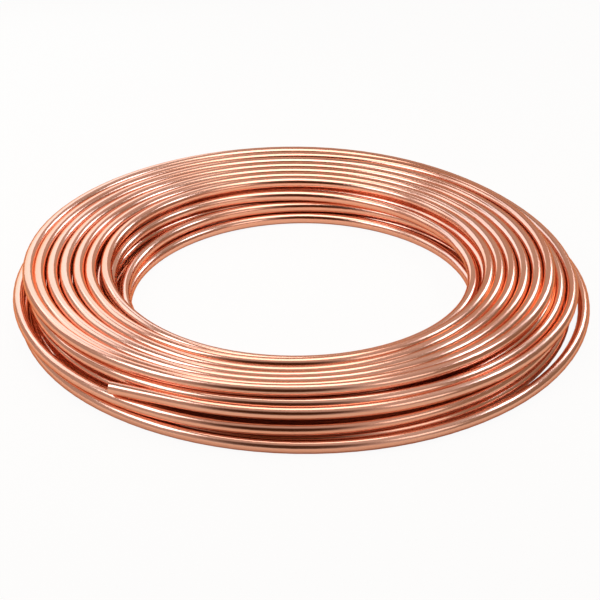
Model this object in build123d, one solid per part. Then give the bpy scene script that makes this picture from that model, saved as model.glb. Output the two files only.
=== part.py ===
from build123d import *
import math
import os

os.makedirs("parts", exist_ok=True)

# Copper tube coil lying on the floor, millimetres, +Z up.
# The coil axis is the Z axis and the floor is Z = 0.

# tube
tube_od = 12.7
tube_wall = 1.0

# wound block: rows of turns, each row up the stack a little narrower than the row under it
rows_high = 4
turns_on_top = 6
turns_on_floor = 8
floor_inner_radius = 188.6
floor_pitch = 13.88
inner_step = 1.3
top_set_back = 13.3
outer_step = 3.8

# every turn that shows on the block is a ridge, with a groove to the next turn
groove_share = 0.15

# loose turns stand off the block; bearings are degrees from +X, and the tube runs clockwise
turn_sides = 8
sunk = 3.0
# first turn, on the floor: from its cut end round to where it closes in on the block
floor_turn_gap = 5.5
floor_turn_end = 135.0
floor_turn_bore_angle = 5.0
floor_turn_closes = 235.0
floor_turn_joins = 165.0
# outer turn of the second row: it opens out of the block at the right and climbs into it at the back
second_turn_gap = 2.2
second_turn_opens = 8.0
second_turn_clear = 295.0
second_turn_climbs = 140.0
second_turn_joins = 84.0

# last turn: it climbs down out of the top row, lies against the third row and leaves it straight
tail_bite = 1.6
tail_seat_slope = 17.0
tail_rise_angle = 100.0
tail_seat_angle = 62.0
tail_leave_angle = 251.0
tail_lead = 45.0
tail_bend_angle = 3.0
tail_straight = 32.0

# derived sizes
floor_outer_radius = floor_inner_radius + (turns_on_floor - 1) * floor_pitch
tube_radius = tube_od / 2
bore_radius = tube_radius - tube_wall
groove = tube_od * groove_share
top_row = rows_high - 1
section_angle = (tail_rise_angle + tail_leave_angle) / 2


def row_height(row):
    return tube_radius + row * tube_od


def row_inner(row):
    set_back = top_set_back if row == top_row else 0.0
    return floor_inner_radius + row * inner_step + set_back


def row_outer(row):
    return floor_outer_radius - row * outer_step


def turn_radii(row, turns):
    pitch = (row_outer(row) - row_inner(row)) / (turns - 1)
    return [row_inner(row) + turn * pitch for turn in range(turns)]


def off_centre(centre, distance, angle):
    turned = math.radians(angle)
    return (centre[0] + distance * math.cos(turned), centre[1] + distance * math.sin(turned))


def ridges(centres, facing):
    points = []
    for number, centre in enumerate(centres):
        if number > 0:
            before = centres[number - 1]
            middle = ((before[0] + centre[0]) / 2, (before[1] + centre[1]) / 2)
            points.append(off_centre(middle, groove, facing))
        points.append(off_centre(centre, tube_radius, facing))
    return points


def at_angle(radius, angle, height):
    turned = math.radians(angle)
    return Vector(radius * math.cos(turned), radius * math.sin(turned), height)


def clockwise(angle):
    turned = math.radians(angle)
    return Vector(math.sin(turned), -math.cos(turned), 0)


# section of the wound block, drawn round its outline: floor end, outside, top end, then the eye
floor_turns = [(radius, row_height(0)) for radius in turn_radii(0, turns_on_floor)]
top_turns = [(radius, row_height(top_row)) for radius in turn_radii(top_row, turns_on_top)]
outer_turns = [(row_outer(row), row_height(row)) for row in range(rows_high)]
inner_turns = [(row_inner(row), row_height(row)) for row in range(rows_high)]
outline = ridges(floor_turns, 270.0)
outline += ridges(outer_turns, 0.0)
outline += ridges(top_turns[::-1], 90.0)
outline += ridges(inner_turns[::-1], 180.0)
section = make_face(Polyline(*outline, close=True))
coil = revolve(Rot(0, 0, section_angle) * (Plane.XZ * section), axis=Axis.Z)

# loose turns have a section of a few flats, one of them level, with the same area as the round tube
flats_share = math.sqrt(math.tau / (turn_sides * math.sin(math.tau / turn_sides)))
turn_section = RegularPolygon(tube_radius * flats_share, turn_sides, rotation=180 / turn_sides)
turn_bore_section = RegularPolygon(bore_radius * flats_share, turn_sides, rotation=180 / turn_sides)


def across(point, way):
    return Plane(point, x_dir=(0, 0, 1), z_dir=way)


def loose_arc(section, radius, height, start_angle, end_angle):
    start = across(at_angle(radius, start_angle, height), clockwise(start_angle))
    sweep_angle = (start_angle - end_angle) % 360
    return revolve(start * section, axis=Axis((0, 0, 0), (0, 0, -1)), revolution_arc=sweep_angle)


def joining(start, start_way, end, end_way):
    path = Spline(start, end, tangents=[start_way, end_way])
    return sweep(across(start, start_way) * turn_section, path=path)


# first turn on the floor, with the bore of its cut end
floor_turn_radius = row_outer(0) + tube_od + floor_turn_gap
floor_turn = loose_arc(turn_section, floor_turn_radius, row_height(0), floor_turn_end, floor_turn_closes)
floor_turn -= loose_arc(
    turn_bore_section, floor_turn_radius, row_height(0), floor_turn_end, floor_turn_end - floor_turn_bore_angle,
)
floor_turn_join = joining(
    at_angle(floor_turn_radius, floor_turn_closes, row_height(0)), clockwise(floor_turn_closes),
    at_angle(row_outer(0) - sunk, floor_turn_joins, row_height(0) + sunk / 2), clockwise(floor_turn_joins),
)

# outer turn of the second row
second_turn_radius = row_outer(1) + tube_od + second_turn_gap
second_turn = loose_arc(turn_section, second_turn_radius, row_height(1), second_turn_clear, second_turn_climbs)
second_turn_opening = joining(
    at_angle(second_turn_radius, second_turn_clear, row_height(1)), -clockwise(second_turn_clear),
    at_angle(row_outer(1) - sunk, second_turn_opens, row_height(1)), -clockwise(second_turn_opens),
)
second_turn_climb = joining(
    at_angle(second_turn_radius, second_turn_climbs, row_height(1)), clockwise(second_turn_climbs),
    at_angle(row_outer(2) - sunk, second_turn_joins, row_height(2)), clockwise(second_turn_joins),
)

# last turn: seated on the slope of the third row's outer turn
tail_reach = tube_od - tail_bite
tail_radius = row_outer(top_row - 1) + tail_reach * math.cos(math.radians(tail_seat_slope))
tail_height = row_height(top_row - 1) + tail_reach * math.sin(math.radians(tail_seat_slope))
tail = loose_arc(turn_section, tail_radius, tail_height, tail_seat_angle, tail_leave_angle)
rise = joining(
    at_angle(tail_radius, tail_seat_angle, tail_height), -clockwise(tail_seat_angle),
    at_angle(row_outer(top_row) - sunk, tail_rise_angle, row_height(top_row)), -clockwise(tail_rise_angle),
)

# straight lead that lifts the last turn clear of its seat
leave_point = at_angle(tail_radius, tail_leave_angle, tail_height)
leave_way = clockwise(tail_leave_angle)
lead = extrude(across(leave_point, leave_way) * Circle(tube_radius), amount=tail_lead)

# short bend, as tight as the turn itself
bend_point = leave_point + leave_way * tail_lead
bend_centre = bend_point - at_angle(tail_radius, tail_leave_angle, 0)
bend_section = Plane(bend_point, z_dir=leave_way) * Circle(tube_radius)
bend = revolve(bend_section, axis=Axis(bend_centre, (0, 0, -1)), revolution_arc=tail_bend_angle)

# straight free end, bored from its square-cut face
end_angle = tail_leave_angle - tail_bend_angle
end_way = clockwise(end_angle)
straight_point = bend_centre + at_angle(tail_radius, end_angle, 0)
straight = extrude(Plane(straight_point, z_dir=end_way) * Circle(tube_radius), amount=tail_straight)
end_point = straight_point + end_way * tail_straight
bore = extrude(Plane(end_point, z_dir=-end_way) * Circle(bore_radius), amount=tail_straight)

turns = floor_turn + floor_turn_join + second_turn_opening + second_turn + second_turn_climb
part = coil + turns + rise + tail + lead + bend + straight - bore
solid = part.solids()[0] if len(part.solids()) == 1 else part
solid.label = "copper_tube_coil"
export_step(solid, "parts/copper_tube_coil.step")

box = solid.bounding_box()
print("solids", len(part.solids()), "valid", part.is_valid, "volume", round(part.volume, 1))
print("box", box.min, box.max)
print("tail seat", tail_radius, tail_height)
print("end", end_point, "way", end_way)
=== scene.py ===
# Coil of bright copper tube lying on a pale floor.
# Metres, Z up, floor at Z = 0, the coil's axis is the Z axis.
import math

import bpy
import numpy as np
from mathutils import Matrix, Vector


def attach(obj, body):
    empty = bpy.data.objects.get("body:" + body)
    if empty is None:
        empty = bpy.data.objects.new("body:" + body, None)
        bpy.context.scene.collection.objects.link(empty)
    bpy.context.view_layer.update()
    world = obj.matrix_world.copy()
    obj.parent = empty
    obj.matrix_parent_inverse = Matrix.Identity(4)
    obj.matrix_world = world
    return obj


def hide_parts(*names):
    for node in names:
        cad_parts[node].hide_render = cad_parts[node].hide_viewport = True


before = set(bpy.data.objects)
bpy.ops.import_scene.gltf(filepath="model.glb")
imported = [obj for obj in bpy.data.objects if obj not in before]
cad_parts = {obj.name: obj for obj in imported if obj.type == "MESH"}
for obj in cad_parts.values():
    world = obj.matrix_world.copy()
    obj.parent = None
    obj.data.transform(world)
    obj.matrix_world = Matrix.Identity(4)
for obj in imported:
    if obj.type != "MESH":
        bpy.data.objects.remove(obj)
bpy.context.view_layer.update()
print("frame loaded, nodes:", ", ".join(sorted(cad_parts)))


# the tube, and how finely it is drawn
tube = {
    "name": "woundTube",
    "outside": 0.0127,
    "wall": 0.001,
    "deburr": 0.0003,          # bevel of the cut edges
    "openDepth": 0.09,         # the cut ends are hollow this far in
    "sides": 18,
    "stepsPerTurn": 100,
    "sharpFrom": 35.0,         # edges that turn by more degrees than this stay sharp
}

# The tube is followed clockwise, seen from above, from its hidden end on the floor.
# A mark is (degrees wound so far, radius, height, sideways shift), in tube diameters.
# A mark that leaves out its height or its shift has the one of its row.
winding = {
    "startBearing": 140.0,     # bearing of the hidden end, degrees from +X towards +Y
    "fullTurn": 360.0,
    "easing": 16.0,            # degrees to each side over which the marks ease into each other
    "easingPasses": 2,
    "rows": [
        # floor row: a loose first turn, then inwards to the eye
        {"height": 0.50, "shift": 0.0, "marks": [
            (0, 23.40), (50, 23.75), (110, 23.98), (130, 23.96), (160, 23.82), (195, 24.25),
            (215, 24.31), (235, 24.12), (298, 22.80), (320, 22.65), (410, 22.50), (500, 22.30),
            (520, 22.35), (550, 22.95), (600, 22.95), (650, 21.95), (680, 21.65), (2400, 16.55),
            (2440, 16.15), (2480, 15.60), (2530, 15.40), (2570, 15.70), (2605, 16.02), (2650, 16.06),
            (2740, 15.55), (2800, 14.95), (2838, 14.30), (2870, 14.02), (2900, 14.40), (2935, 14.97),
            (3020, 14.95), (3080, 14.95, 0.55),
        ]},
        # second row: outwards, with a loose last turn that stands off the others
        {"height": 1.50, "shift": 0.0, "marks": [
            (3150, 14.90, 1.42), (3185, 14.45, 1.38), (3220, 14.38, 1.38), (3255, 14.85, 1.47),
            (3290, 15.05), (3318, 15.60), (3350, 15.70), (3420, 15.62), (3560, 15.72), (3615, 15.80),
            (3650, 16.10), (3695, 16.55), (5650, 21.80), (5870, 21.90), (5900, 22.05), (5930, 22.50),
            (5960, 23.10), (5990, 23.40, 1.53), (6035, 23.25), (6080, 23.18), (6110, 23.22),
            (6150, 22.75, 1.85), (6180, 22.20, 2.35),
        ]},
        # third row: inwards again
        {"height": 2.50, "shift": -0.16, "marks": [
            (6205, 21.75, 2.52), (6230, 21.75, 2.52), (6260, 22.00, 2.52), (6350, 22.02),
            (8590, 15.36), (8640, 15.50), (8665, 15.48), (8710, 15.12), (8780, 14.81),
            (8870, 14.90, 2.60), (8910, 15.20, 2.75, -0.20), (8935, 15.50, 3.20, -0.26),
        ]},
        # top row: outwards, set back from the eye
        {"height": 3.50, "shift": -0.50, "marks": [
            (8960, 15.63, 3.50, -0.33), (9265, 16.74, 3.50, -0.38), (9400, 16.93, 3.50, -0.40),
            (9900, 18.40), (10830, 21.14, 3.50, -0.52), (10865, 21.45), (10905, 21.68),
            (10945, 21.36), (11030, 21.45), (11085, 21.45), (11112, 21.86, 3.50, -0.48),
            (11140, 22.02, 3.50, -0.46), (11180, 22.20, 3.50, -0.38),
        ]},
        # loose last turn: down off the top row, then along the third row to the free end
        {"height": 2.60, "shift": 0.0, "marks": [
            (11210, 22.44, 3.52, -0.28), (11230, 22.68, 3.34, -0.15), (11248, 22.88, 2.85, -0.05),
            (11265, 22.86, 2.38), (11285, 22.78, 2.15), (11300, 22.82, 2.25), (11330, 23.00),
            (11390, 22.99, 2.78), (11413, 22.97, 2.70), (11427.2, 22.95, 2.58),
        ]},
    ],
    "straightFrom": 11413.0,   # from here to the cut end the tube runs straight
    "frontSpan": 75.0,         # degrees to each side of the front over which turns rise and dip
    # rises of single turns of the third row and of the top row, from their first pass of the front
    "frontRises": [
        {"firstPass": 6350.0, "rises": [0.46, -0.20, -0.20, -0.20, -0.20, -0.20, -0.20]},
        {"firstPass": 9230.0, "rises": [-0.12, -0.36, -0.22, -0.04, 0.12, 0.33]},
    ],
}


def windingMarks():
    marks = []
    for row in winding["rows"]:
        for wound, radius, *own in row["marks"]:
            usual = [row["height"], row["shift"]]
            marks.append([wound, radius] + own + usual[len(own):])
    return np.array(marks, dtype=float)


# running means, so that one stretch flows into the next
def eased(values, window):
    kernel = np.ones(2 * window + 1) / (2 * window + 1)
    for easingPass in range(winding["easingPasses"]):
        padded = np.pad(values, window, mode="edge")
        values = np.convolve(padded, kernel, mode="valid")
    return values


# height that single turns gain or lose where they pass the front
def frontRise(wound, firstPass, rises):
    total = np.zeros_like(wound)
    for number, rise in enumerate(rises):
        away = (wound - firstPass - winding["fullTurn"] * number) / winding["frontSpan"]
        weight = np.where(np.abs(away) < 1, np.cos(away * math.pi / 2) ** 2, 0.0)
        total += rise * weight
    return total


def windingPath():
    marks = windingMarks()
    lastMark = marks[-1, 0]
    steps = int(lastMark / winding["fullTurn"] * tube["stepsPerTurn"]) + 1
    wound = np.linspace(0.0, lastMark, steps)
    window = int(winding["easing"] / (wound[1] - wound[0]))
    radius, height, shift = (eased(np.interp(wound, marks[:, 0], marks[:, column]), window)
                             for column in (1, 2, 3))
    for row in winding["frontRises"]:
        height = height + frontRise(wound, row["firstPass"], row["rises"])
    # straight free end: a tangent of the last turn
    pastTangent = np.radians(np.clip(wound - winding["straightFrom"], 0.0, None))
    radius = radius / np.cos(pastTangent)
    bearing = np.radians(winding["startBearing"] - wound)
    points = np.column_stack((radius * np.cos(bearing) + shift, radius * np.sin(bearing), height))
    return points * tube["outside"]


def buildTube(path):
    sides = tube["sides"]
    outer = tube["outside"] / 2
    inner = outer - tube["wall"]
    lip = outer - tube["deburr"]
    lipInset = tube["deburr"]
    travel = np.gradient(path, axis=0)
    travel /= np.linalg.norm(travel, axis=1)[:, None]
    outward = np.cross((0.0, 0.0, 1.0), travel)
    outward /= np.linalg.norm(outward, axis=1)[:, None]
    upward = np.cross(travel, outward)
    distance = np.concatenate(([0.0], np.cumsum(np.linalg.norm(np.diff(path, axis=0), axis=1))))
    last = len(path) - 1
    openRings = max(2, round(tube["openDepth"] / distance[1]))

    # rings in order: up the bore to the hidden end, along the outside, into the bore of the free end
    rings = [(index, inner, 0.0) for index in range(openRings, -1, -1)]
    rings += [(0, lip, 0.0), (0, outer, lipInset)]
    rings += [(index, outer, 0.0) for index in range(1, last)]
    rings += [(last, outer, -lipInset), (last, lip, 0.0)]
    rings += [(last - index, inner, 0.0) for index in range(openRings + 1)]

    # each point also keeps its place round and along the tube, for the drawn lines
    around = np.linspace(0.0, 2 * math.pi, sides, endpoint=False)
    vertices, drawLine = [], []
    for index, radius, inset in rings:
        centre = path[index] + travel[index] * inset
        ring = centre + radius * (np.outer(np.cos(around), outward[index])
                                  + np.outer(np.sin(around), upward[index]))
        vertices.append(ring)
        along = np.full(sides, distance[index] / tube["outside"])
        drawLine.append(np.column_stack((np.cos(around), np.sin(around), along)))

    faces = []
    for ring in range(len(rings) - 1):
        base = ring * sides
        for side in range(sides):
            nextSide = (side + 1) % sides
            faces.append((base + side, base + nextSide, base + sides + nextSide, base + sides + side))
    # the bores end in a disc
    lastBase = (len(rings) - 1) * sides
    faces.append(tuple(reversed(range(sides))))
    faces.append(tuple(lastBase + side for side in range(sides)))

    mesh = bpy.data.meshes.new(tube["name"])
    mesh.from_pydata(np.concatenate(vertices).tolist(), [], faces)
    lines = mesh.attributes.new("drawLine", "FLOAT_VECTOR", "POINT")
    lines.data.foreach_set("vector", np.concatenate(drawLine).ravel())
    mesh.polygons.foreach_set("use_smooth", [True] * len(mesh.polygons))
    mesh.set_sharp_from_angle(angle=math.radians(tube["sharpFrom"]))
    mesh.update()
    piece = bpy.data.objects.new(tube["name"], mesh)
    bpy.context.collection.objects.link(piece)
    print("tube length %.2f m, %d faces" % (distance[-1], len(mesh.polygons)))
    return piece


# drawn copper: fine lines along the tube and slow drifts of tint
copper = {
    "name": "drawnCopper",
    "bright": (0.93, 0.56, 0.44, 1.0),
    "warm": (0.93, 0.49, 0.36, 1.0),
    "edgeTint": (0.86, 0.43, 0.23, 1.0),     # grazing reflections turn orange
    "driftScale": (0.5, 0.5, 0.06),          # noise per tube radius round the tube, per diameter along it
    "driftDetail": 2.0,
    "driftRange": (0.35, 0.65),              # noise that is all bright, and all warm
    "lineScale": (5.0, 5.0, 0.05),
    "lineDetail": 4.0,
    "lineRange": (0.3, 0.7),                 # noise of the smoothest lines, and of the roughest
    "roughness": (0.11, 0.24),
    "lineDepth": 0.00004,
    "lineStrength": 0.25,
}

# sockets of a mix node that mixes colours
colourMix = {"share": 0, "first": 6, "second": 7, "result": 2}


def link(tree, fromNode, fromSocket, toNode, toSocket):
    tree.links.new(fromNode.outputs[fromSocket], toNode.inputs[toSocket])


def addColourMix(tree):
    mix = tree.nodes.new("ShaderNodeMix")
    mix.data_type = "RGBA"
    return mix


def lineNoise(tree, source, scale, detail):
    mapping = tree.nodes.new("ShaderNodeMapping")
    mapping.inputs["Scale"].default_value = scale
    link(tree, source, "Vector", mapping, "Vector")
    noise = tree.nodes.new("ShaderNodeTexNoise")
    noise.inputs["Scale"].default_value = 1.0
    noise.inputs["Detail"].default_value = detail
    link(tree, mapping, "Vector", noise, "Vector")
    return noise


def stretched(tree, noise, fromRange, toRange):
    level = tree.nodes.new("ShaderNodeMapRange")
    level.inputs["From Min"].default_value, level.inputs["From Max"].default_value = fromRange
    level.inputs["To Min"].default_value, level.inputs["To Max"].default_value = toRange
    link(tree, noise, "Fac", level, "Value")
    return level


def drawnCopper():
    material = bpy.data.materials.new(copper["name"])
    material.use_nodes = True
    tree = material.node_tree
    shader = tree.nodes["Principled BSDF"]
    shader.inputs["Metallic"].default_value = 1.0
    shader.inputs["Specular Tint"].default_value = copper["edgeTint"]
    lay = tree.nodes.new("ShaderNodeAttribute")
    lay.attribute_name = "drawLine"

    drift = lineNoise(tree, lay, copper["driftScale"], copper["driftDetail"])
    warmth = stretched(tree, drift, copper["driftRange"], (0.0, 1.0))
    tint = addColourMix(tree)
    tint.inputs[colourMix["first"]].default_value = copper["bright"]
    tint.inputs[colourMix["second"]].default_value = copper["warm"]
    link(tree, warmth, "Result", tint, colourMix["share"])
    link(tree, tint, colourMix["result"], shader, "Base Color")

    lines = lineNoise(tree, lay, copper["lineScale"], copper["lineDetail"])
    rough = stretched(tree, lines, copper["lineRange"], copper["roughness"])
    link(tree, rough, "Result", shader, "Roughness")
    bump = tree.nodes.new("ShaderNodeBump")
    bump.inputs["Strength"].default_value = copper["lineStrength"]
    bump.inputs["Distance"].default_value = copper["lineDepth"]
    link(tree, lines, "Fac", bump, "Height")
    link(tree, bump, "Normal", shader, "Normal")
    return material


coilPiece = buildTube(windingPath())
coilPiece.data.materials.append(drawnCopper())
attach(coilPiece, "root")
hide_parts("copper_tube_coil")
print("coil wound")


# pale floor: nearly white to the camera, with the coil's soft shadow left on it
floor = {
    "name": "paleFloor",
    "size": 40.0,
    "drop": 0.0003,            # keeps it clear of the lowest turns
    "white": 0.94,             # share of plain white over the lit floor, to the camera
    "mirrored": 0.04,          # and in reflections
    "colour": (0.95, 0.80, 0.64, 1.0),
    "roughness": 0.9,
    "glow": 1.0,               # strength of the plain white
}


def paleFloor():
    half = floor["size"] / 2
    mesh = bpy.data.meshes.new(floor["name"])
    corners = [(-half, -half), (half, -half), (half, half), (-half, half)]
    mesh.from_pydata([(x, y, -floor["drop"]) for x, y in corners], [], [(0, 1, 2, 3)])
    material = bpy.data.materials.new(floor["name"])
    material.use_nodes = True
    tree = material.node_tree
    lit = tree.nodes["Principled BSDF"]
    lit.inputs["Base Color"].default_value = floor["colour"]
    lit.inputs["Roughness"].default_value = floor["roughness"]
    white = tree.nodes.new("ShaderNodeEmission")
    white.inputs["Strength"].default_value = floor["glow"]

    rays = tree.nodes.new("ShaderNodeLightPath")
    mirrored = tree.nodes.new("ShaderNodeMath")
    mirrored.operation = "MAXIMUM"
    link(tree, rays, "Is Glossy Ray", mirrored, 0)
    link(tree, rays, "Is Transmission Ray", mirrored, 1)
    weak = tree.nodes.new("ShaderNodeMath")
    weak.operation = "MULTIPLY"
    weak.inputs[1].default_value = floor["mirrored"]
    link(tree, mirrored, "Value", weak, 0)
    share = tree.nodes.new("ShaderNodeMath")
    share.operation = "MULTIPLY_ADD"
    share.inputs[1].default_value = floor["white"]
    link(tree, rays, "Is Camera Ray", share, 0)
    link(tree, weak, "Value", share, 2)

    mix = tree.nodes.new("ShaderNodeMixShader")
    litSide, whiteSide = 1, 2
    link(tree, share, "Value", mix, "Fac")
    link(tree, lit, "BSDF", mix, litSide)
    link(tree, white, "Emission", mix, whiteSide)
    link(tree, mix, "Shader", tree.nodes["Material Output"], "Surface")
    mesh.materials.append(material)
    plane = bpy.data.objects.new(floor["name"], mesh)
    bpy.context.collection.objects.link(plane)


# soft studio, seen in reflections: pale all round, with dimmer patches; white to the camera
room = {
    "name": "softRoom",
    "pale": (0.53, 0.45, 0.40, 1.0),
    "shown": (1.0, 1.0, 1.0, 1.0),
    # a patch fades from its edge to its core, both cosines of the angle to its way
    "patches": [
        # left wall
        {"way": (-0.93, -0.25, 0.30), "edge": 0.40, "core": 0.92, "colour": (0.45, 0.37, 0.32, 1.0)},
        # brown right wall
        {"way": (0.97, 0.10, 0.22), "edge": 0.55, "core": 0.95, "colour": (0.28, 0.20, 0.14, 1.0)},
        # high at the back left
        {"way": (-0.45, 0.45, 0.77), "edge": 0.80, "core": 0.96, "colour": (0.31, 0.21, 0.15, 1.0)},
        # dark behind the camera
        {"way": (-0.10, -0.86, 0.50), "edge": 0.78, "core": 0.96, "colour": (0.05, 0.018, 0.005, 1.0)},
    ],
}


def softRoom():
    world = bpy.data.worlds.new(room["name"])
    world.use_nodes = True
    bpy.context.scene.world = world
    tree = world.node_tree
    way = tree.nodes.new("ShaderNodeTexCoord")
    wall = tree.nodes.new("ShaderNodeRGB")
    wall.outputs["Color"].default_value = room["pale"]
    walls, wallSocket = wall, "Color"
    for patch in room["patches"]:
        towards = tree.nodes.new("ShaderNodeVectorMath")
        towards.operation = "DOT_PRODUCT"
        towards.inputs[1].default_value = Vector(patch["way"]).normalized()
        link(tree, way, "Generated", towards, 0)
        level = tree.nodes.new("ShaderNodeMapRange")
        level.interpolation_type = "SMOOTHSTEP"
        level.inputs["From Min"].default_value = patch["edge"]
        level.inputs["From Max"].default_value = patch["core"]
        link(tree, towards, "Value", level, "Value")
        blend = addColourMix(tree)
        blend.inputs[colourMix["second"]].default_value = patch["colour"]
        link(tree, level, "Result", blend, colourMix["share"])
        link(tree, walls, wallSocket, blend, colourMix["first"])
        walls, wallSocket = blend, colourMix["result"]
    rays = tree.nodes.new("ShaderNodeLightPath")
    shown = addColourMix(tree)
    shown.inputs[colourMix["second"]].default_value = room["shown"]
    link(tree, rays, "Is Camera Ray", shown, colourMix["share"])
    link(tree, walls, wallSocket, shown, colourMix["first"])
    link(tree, shown, colourMix["result"], tree.nodes["Background"], "Color")


# softboxes, hung where the turns on each side of the coil mirror them
softboxes = [
    {"name": "overheadBox", "place": (-0.03, 0.07, 0.74), "aim": (-0.03, 0.07, 0.0),
     "size": (0.54, 0.46), "watts": 1.65, "tint": (1.0, 0.96, 0.92)},
    {"name": "leftBox", "place": (-0.83, -0.38, 0.87), "aim": (-0.15, -0.2, 0.0),
     "size": (0.58, 0.50), "watts": 2.7, "tint": (0.88, 1.0, 1.12)},
    {"name": "leftBackCard", "place": (-0.53, 0.80, 0.45), "aim": (-0.53, 0.0, 0.23),
     "size": (0.84, 0.68), "watts": 2.2, "tint": (0.68, 0.96, 1.20)},
    {"name": "leftTopCard", "place": (-0.70, 0.30, 0.60), "aim": (-0.2, -0.2, 0.03),
     "size": (0.50, 0.40), "watts": 0.80, "tint": (0.90, 1.0, 1.10)},
    {"name": "rightBackBox", "place": (0.89, 1.07, 0.71), "aim": (0.2, 0.0, 0.0),
     "size": (0.46, 0.38), "watts": 2.3, "tint": (0.78, 1.0, 1.24)},
    {"name": "rightBox", "place": (0.85, 0.16, 0.85), "aim": (0.15, -0.15, 0.0),
     "size": (0.50, 0.24), "watts": 1.5, "tint": (0.82, 1.0, 1.20)},
    {"name": "backTopBox", "place": (-0.24, 0.81, 0.98), "aim": (0.2, 0.2, 0.0),
     "size": (0.34, 0.12), "watts": 0.20, "tint": (0.90, 1.0, 1.10)},
    {"name": "rightFrontBox", "place": (0.80, -0.80, 0.65), "aim": (0.1, -0.1, 0.0),
     "size": (0.50, 0.36), "watts": 0.6, "tint": (1.0, 0.96, 0.92)},
]


def hangSoftbox(box):
    light = bpy.data.lights.new(box["name"], "AREA")
    light.shape = "RECTANGLE"
    light.size, light.size_y = box["size"]
    light.energy = box["watts"]
    light.color = box["tint"]
    lamp = bpy.data.objects.new(box["name"], light)
    lamp.location = box["place"]
    look = Vector(box["aim"]) - Vector(box["place"])
    lamp.rotation_euler = look.to_track_quat("-Z", "Y").to_euler()
    lamp.visible_camera = False
    bpy.context.collection.objects.link(lamp)


paleFloor()
softRoom()
for softbox in softboxes:
    hangSoftbox(softbox)
print("floor and lights set")


# camera at the photograph's angle
view = {
    "name": "photoView",
    "elevation": 28.2,
    "distance": 2.5146,
    "lens": 141.4,
    "sensor": 36.0,
    "aim": (0.00267, 0.0, 0.0012),
}


def photoView():
    data = bpy.data.cameras.new(view["name"])
    data.lens = view["lens"]
    data.sensor_width = view["sensor"]
    camera = bpy.data.objects.new(view["name"], data)
    tilt = math.radians(view["elevation"])
    place = Vector((0.0, -math.cos(tilt), math.sin(tilt))) * view["distance"]
    look = Vector(view["aim"]) - place
    camera.location = place
    camera.rotation_euler = look.to_track_quat("-Z", "Y").to_euler()
    bpy.context.collection.objects.link(camera)
    bpy.context.scene.camera = camera


photoView()
bpy.context.scene.view_settings.view_transform = "Standard"
print("camera set")
